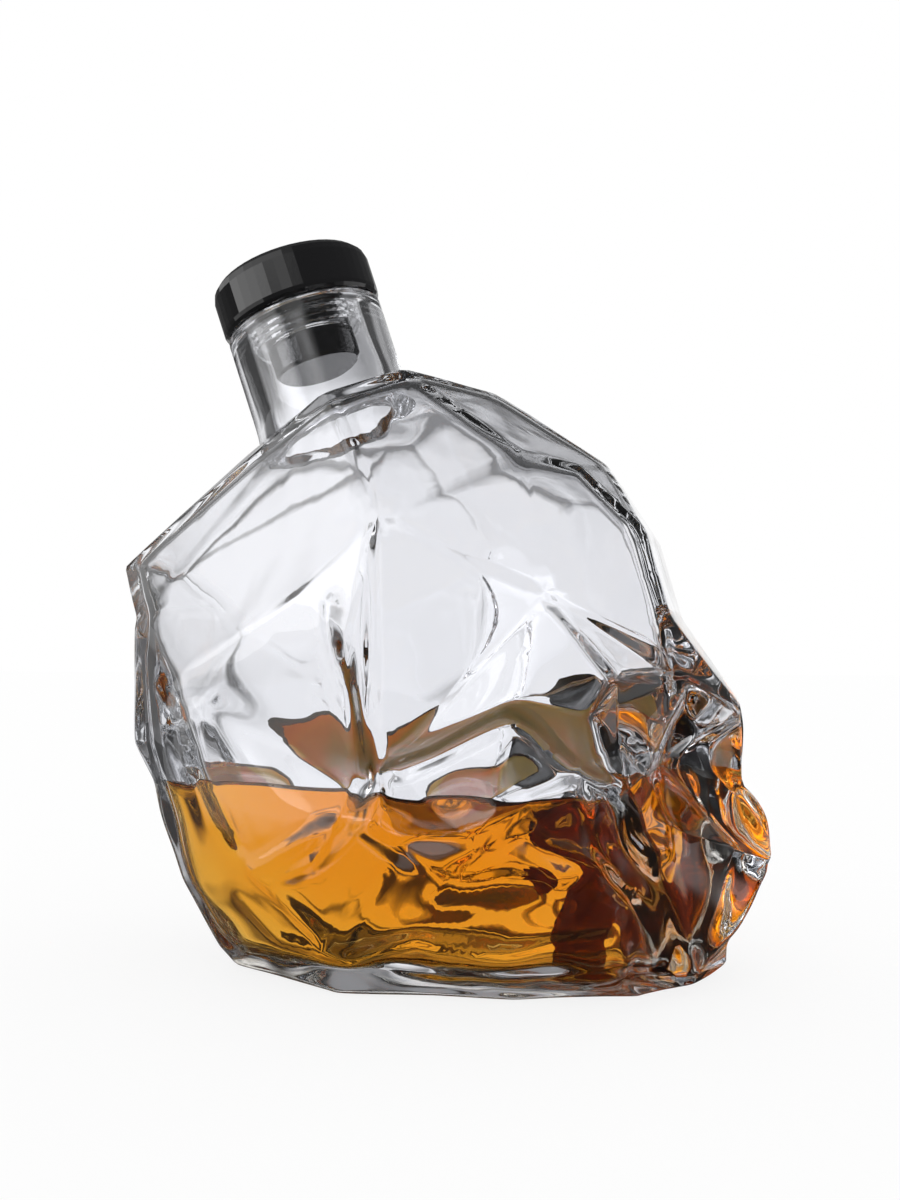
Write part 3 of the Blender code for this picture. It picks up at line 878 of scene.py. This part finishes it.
def make_floor():
    bm = bmesh.new()
    bmesh.ops.create_grid(bm, x_segments=1, y_segments=1, size=FLOOR_REACH)
    floor = from_bmesh("floor", bm)
    made = Nodes("floor")
    path = made.add("ShaderNodeLightPath").outputs
    camera = path["Is Camera Ray"]
    place = made.add("ShaderNodeNewGeometry").outputs["Position"]
    azimuth, _ = azimuth_and_rise(made, place)
    cards = card_light(made, SEEN_THROUGH, azimuth, height=0.0)
    reach = made.add("ShaderNodeVectorMath", operation="LENGTH", inputs={0: place}).outputs["Value"]
    far = made.maths("MULTIPLY", made.ramp(reach, *NEAR_FLOOR, 0.0, 1.0), cards)
    seen = seen_in_glass(made, path)
    share = made.blend(camera, made.maths("MULTIPLY", seen, far), FLOOR_WHITE_SHARE)
    tone = made.blend(camera, made.blend(seen, FLOOR_TONE, SEEN_FLOOR_TONE), CAMERA_FLOOR_TONE)
    colour = made.add("ShaderNodeCombineColor", inputs={0: tone, 1: tone, 2: tone}).outputs[0]
    pale = made.add("ShaderNodeBsdfDiffuse", inputs={"Color": colour})
    white = made.add("ShaderNodeEmission", inputs={"Color": WHITE, "Strength": 1.0})
    mix = made.add("ShaderNodeMixShader", inputs={0: share, 1: pale.outputs[0], 2: white.outputs[0]})
    give_materials(floor, made.finish(Surface=mix.outputs[0]))


# Painted shade: a dark sheet behind the face, which darkens the face as seen through the glass
DARK_CARD_ENDS = ((0.015, 0.070), (0.140, 0.046))  # x and y of each
DARK_CARD_FOOT = 0.001
DARK_CARD_TOP = 0.070
DARK_CARD_COLOUR = (0.010, 0.009, 0.009, 1.0)


def make_dark_card():
    """Painted shade in the glass: a dark sheet close behind the face, which only glass and gloss see and
    which casts no shadow.
    """
    (left, back), (right, front) = DARK_CARD_ENDS
    bm = bmesh.new()
    bm.faces.new([bm.verts.new(place) for place in (
        (left, back, DARK_CARD_FOOT), (right, front, DARK_CARD_FOOT),
        (right, front, DARK_CARD_TOP), (left, back, DARK_CARD_TOP))])
    card = from_bmesh("painted_shade_card", bm)
    made = Nodes("painted_shade_card")
    seen = seen_in_glass(made, made.add("ShaderNodeLightPath").outputs)
    hidden = made.add("ShaderNodeBsdfTransparent")
    dark = made.add("ShaderNodeBsdfDiffuse", inputs={"Color": DARK_CARD_COLOUR})
    mix = made.add("ShaderNodeMixShader", inputs={0: seen, 1: hidden.outputs[0], 2: dark.outputs[0]})
    give_materials(card, made.finish(Surface=mix.outputs[0]))


def make_camera():
    lens = bpy.data.cameras.new("photo_view")
    lens.sensor_width = SENSOR
    lens.lens = SENSOR * FOCAL_PIXELS / IMAGE_HEIGHT
    lens.shift_x = (IMAGE_WIDTH / 2 - AXIS_PIXEL_X) / IMAGE_HEIGHT
    lens.shift_y = (AXIS_PIXEL_Y - IMAGE_HEIGHT / 2) / IMAGE_HEIGHT
    camera = bpy.data.objects.new("photo_view", lens)
    bpy.context.scene.collection.objects.link(camera)
    camera.location = (
        CAMERA_DISTANCE * math.sin(CAMERA_AZIMUTH), -CAMERA_DISTANCE * math.cos(CAMERA_AZIMUTH), EYE_HEIGHT
    )
    camera.rotation_euler = (QUARTER, 0.0, CAMERA_AZIMUTH)
    bpy.context.scene.camera = camera


CLEAR_BOUNCES = 32  # enough for light to pass the glass and the whisky
GLOSSY_BOUNCES = 12
DIFFUSE_BOUNCES = 4


def make_look():
    scene = bpy.context.scene
    scene.view_settings.view_transform = "Standard"
    scene.cycles.max_bounces = CLEAR_BOUNCES
    scene.cycles.transmission_bounces = CLEAR_BOUNCES
    scene.cycles.glossy_bounces = GLOSSY_BOUNCES
    scene.cycles.diffuse_bounces = DIFFUSE_BOUNCES


def main():
    body = outside_of_glass("glass_shell")
    shell = tree_of(body)
    make_glass(body, shell, glass_material())
    make_whisky(shell, whisky_material("whisky", *WHISKY_LOOK),
                whisky_material("whisky_surface", *WHISKY_SURFACE_LOOK))
    dress_stopper()
    make_floor()
    make_dark_card()
    make_world()
    make_camera()
    make_look()


main()
